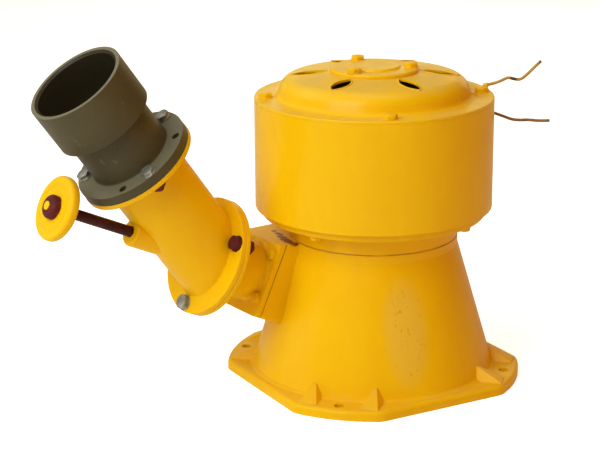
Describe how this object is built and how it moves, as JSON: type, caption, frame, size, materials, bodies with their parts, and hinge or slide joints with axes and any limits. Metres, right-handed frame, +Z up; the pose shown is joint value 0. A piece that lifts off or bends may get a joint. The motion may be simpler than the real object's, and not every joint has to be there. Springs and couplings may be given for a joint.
{
  "type": "hydroelectric generator",
  "caption": "Small vertical-shaft inclined-jet turbine with its alternator on top, an angled inlet valve with handwheel, and a plastic pipe socket.",
  "frame": {"origin": "centre of the base's underside, on the vertical shaft's axis", "axes": "+Z up along the shaft, +X the way the jet flows seen from above, +Y towards the side of the shaft on which the jet passes"},
  "size_m": [0.664, 0.362, 0.4694],
  "materials": {
    "yellow_paint": "glossy enamel on castings",
    "plated_steel": "zinc plated",
    "red_primer": "dull red-brown primer",
    "cast_bronze": "as cast, machined edges",
    "grey_plastic": "smooth pipe plastic",
    "lead_sheath": "dull ochre sheath",
    "black_rubber": "moulded"
  },
  "bodies": {
    "generator": {"bearing_cap": "yellow_paint", "bearing_cap_bolts": "yellow_paint", "bearing_collar": "yellow_paint", "earth_lug": "yellow_paint", "fan_cowl": "yellow_paint", "generator_drum": "yellow_paint", "lead_grommet": "black_rubber", "lower_end_shield": "yellow_paint", "lower_lead": "lead_sheath", "main_shaft": "plated_steel", "nozzle_body": "yellow_paint", "nozzle_plate_bolts": "yellow_paint", "nozzle_tip": "cast_bronze", "pipe_socket": "grey_plastic", "round_flange_bolts": "plated_steel", "runner": "cast_bronze", "runner_nut": "plated_steel", "shield_bolts": "yellow_paint", "socket_bolts": "plated_steel", "spindle_gland": "yellow_paint", "top_plate": "yellow_paint", "top_plate_bolts": "yellow_paint", "turbine_casing": "yellow_paint", "upper_lead": "lead_sheath", "valve_body": "yellow_paint"},
    "needle": {"spear": "cast_bronze"},
    "wheel_and_spindle": {"spindle": "red_primer", "handwheel": "yellow_paint", "handwheel_nut": "red_primer"}
  },
  "joints": [
    {"name": "needle_slide", "type": "slide", "parent": "generator", "child": "needle", "axis": [0.9063, 0, -0.4226], "range_m": [-0.008, 0.012]},
    {"name": "handwheel_turn", "type": "hinge", "parent": "needle", "child": "wheel_and_spindle", "pos_m": [-0.2197, 0.062, 0.1812], "axis": [0.9063, 0, -0.4226], "range_deg": [-725, 1085]}
  ],
  "couplings": [
    {"joint": "handwheel_turn", "follows": "needle_slide", "rad_per_m": 1570.8}
  ]
}
